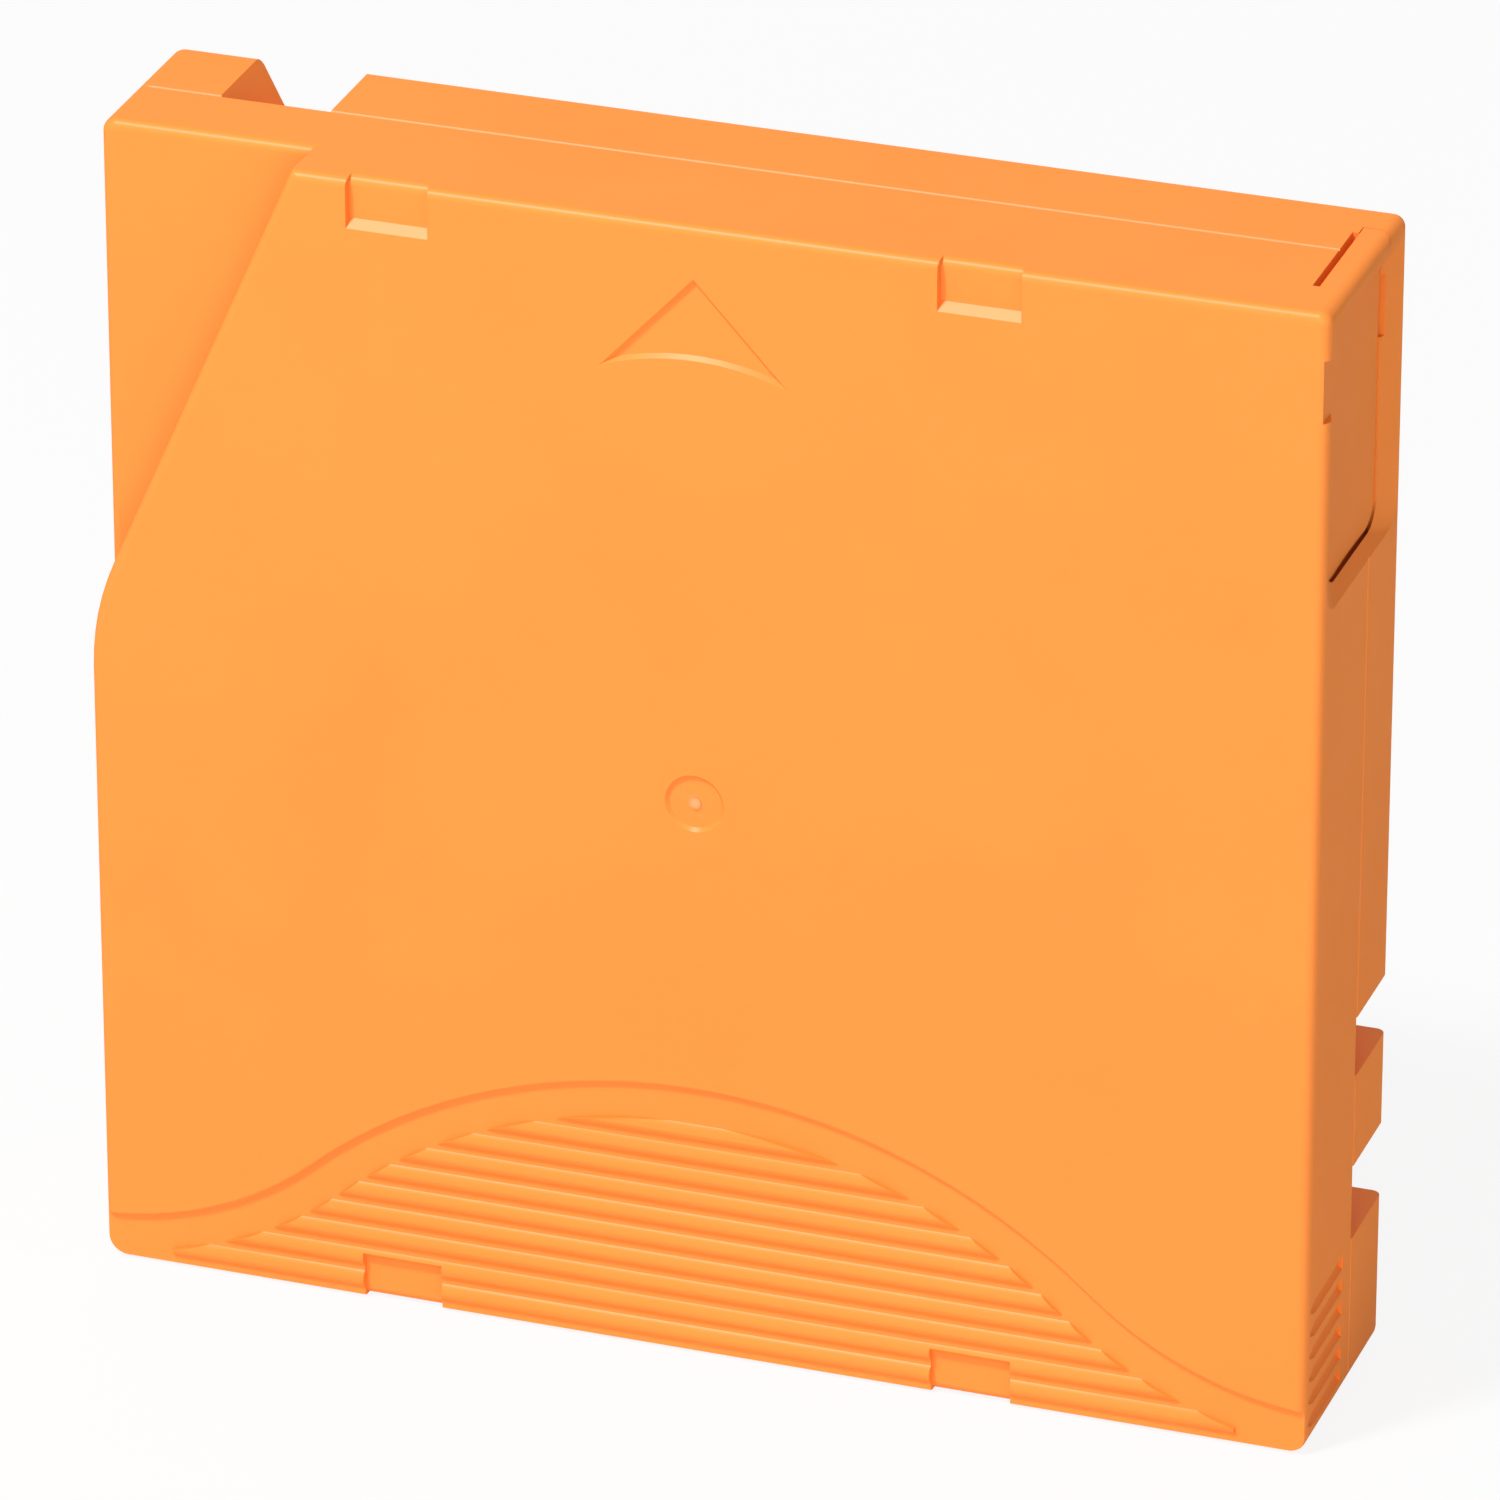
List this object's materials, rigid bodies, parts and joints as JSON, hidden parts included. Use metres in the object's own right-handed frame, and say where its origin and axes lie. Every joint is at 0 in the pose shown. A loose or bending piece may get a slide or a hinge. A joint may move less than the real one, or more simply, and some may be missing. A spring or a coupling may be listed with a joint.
{
  "type": "tape cleaning cartridge",
  "caption": "Flat square single-reel tape cleaning cartridge in orange plastic, with a sliding side door, finger ridges, gripper pockets and a toothed hub in its lower face.",
  "frame": {"origin": "middle of the rear edge face that the cartridge stands on", "axes": "+X towards the side with the tape door, +Y from the ridged upper face to the lower face with the hub, +Z from the rear edge to the front edge"},
  "size_m": [0.1054, 0.0216, 0.102],
  "materials": {
    "case_plastic": "fine satin moulded surface",
    "reel_plastic": "smooth moulded surface",
    "pale_plastic": "smooth moulded surface",
    "dark_plastic": "satin",
    "tape": "fine wound edge",
    "plate_steel": "turned and brushed",
    "spring_steel": "drawn wire and sheet"
  },
  "bodies": {
    "case": {"upper_shell": "case_plastic", "lower_shell": "case_plastic", "door_spring": "spring_steel", "brake_spring": "spring_steel", "leader_tape": "tape", "leader_pin": "plate_steel", "leader_clip": "dark_plastic", "pin_retainer": "spring_steel", "memory_chip": "dark_plastic", "case_screws": "plate_steel"},
    "door": {"door": "case_plastic"},
    "reel": {"reel_hub": "reel_plastic", "upper_flange": "reel_plastic", "clutch_plate": "plate_steel", "tape_pack": "tape"},
    "brake": {"brake_button": "pale_plastic"},
    "release": {"release_plate": "pale_plastic"},
    "write_protect": {"write_protect_slide": "dark_plastic"}
  },
  "joints": [
    {"name": "door_slide", "type": "slide", "parent": "case", "child": "door", "axis": [0, 0, -1], "range_m": [0, 0.022], "stiffness_N_per_m": 23, "springref_m": -0.022, "deforming": ["door_spring"]},
    {"name": "reel_spin", "type": "hinge", "parent": "case", "child": "reel", "pos_m": [0, 0, 0.051], "axis": [0, 1, 0], "continuous": true},
    {"name": "brake_lift", "type": "slide", "parent": "case", "child": "brake", "axis": [0, -1, 0], "range_m": [0, 0.002], "stiffness_N_per_m": 400, "springref_m": -0.008, "deforming": ["brake_spring"]},
    {"name": "release_lift", "type": "slide", "parent": "reel", "child": "release", "axis": [0, -1, 0], "range_m": [0, 0.002]},
    {"name": "write_protect_move", "type": "slide", "parent": "case", "child": "write_protect", "axis": [1, 0, 0], "range_m": [0, 0.0035]}
  ],
  "couplings": [
    {"joint": "release_lift", "follows": "brake_lift", "ratio": 1}
  ]
}
